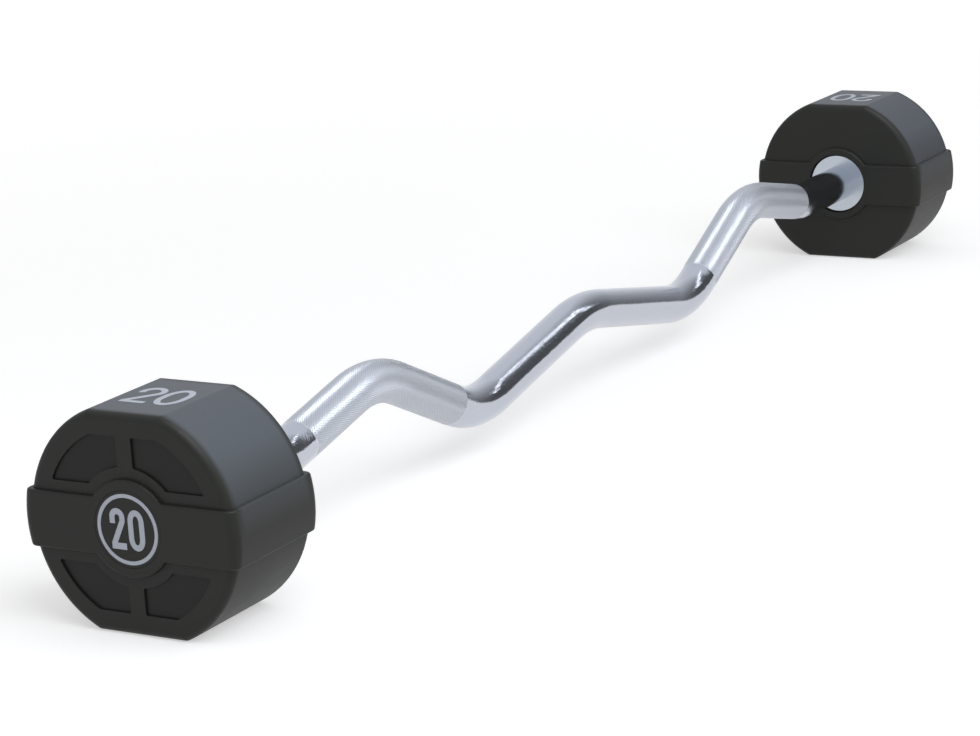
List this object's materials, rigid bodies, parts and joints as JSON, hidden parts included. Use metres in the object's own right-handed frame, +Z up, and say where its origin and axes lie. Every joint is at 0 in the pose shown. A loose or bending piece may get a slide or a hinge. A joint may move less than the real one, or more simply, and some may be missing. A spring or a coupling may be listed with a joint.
{
  "type": "ez curl bar",
  "caption": "Fixed-weight curl bar: W-bent chrome bar with knurled grips and a flat-sided, urethane-covered weight head bolted to each end.",
  "frame": {"origin": "midway between the heads, on the surface that the heads' lower flats stand on", "axes": "+X along the bar towards the right head, +Y to the back, +Z up, in the plane of the bar's bends"},
  "size_m": [1.146, 0.156, 0.138],
  "materials": {
    "chrome_bar": "bright plated",
    "plated_collar": "bright plated",
    "urethane": "satin moulded",
    "cap_urethane": "satin moulded",
    "grey_inlay": "matt",
    "core_steel": "machined",
    "fastener_steel": "zinc plated"
  },
  "bodies": {
    "root": {"curl_bar": "chrome_bar", "left_urethane_casing": "urethane", "left_weight_core": "core_steel", "left_stop_collar": "plated_collar", "left_drive_key": "fastener_steel", "left_clamp_washer": "fastener_steel", "left_lock_washer": "fastener_steel", "left_end_bolt": "fastener_steel", "left_end_cap": "cap_urethane", "left_cap_ring": "grey_inlay", "right_urethane_casing": "urethane", "right_weight_core": "core_steel", "right_stop_collar": "plated_collar", "right_drive_key": "fastener_steel", "right_clamp_washer": "fastener_steel", "right_lock_washer": "fastener_steel", "right_end_bolt": "fastener_steel", "right_end_cap": "cap_urethane", "right_cap_ring": "grey_inlay"}
  },
  "joints": []
}
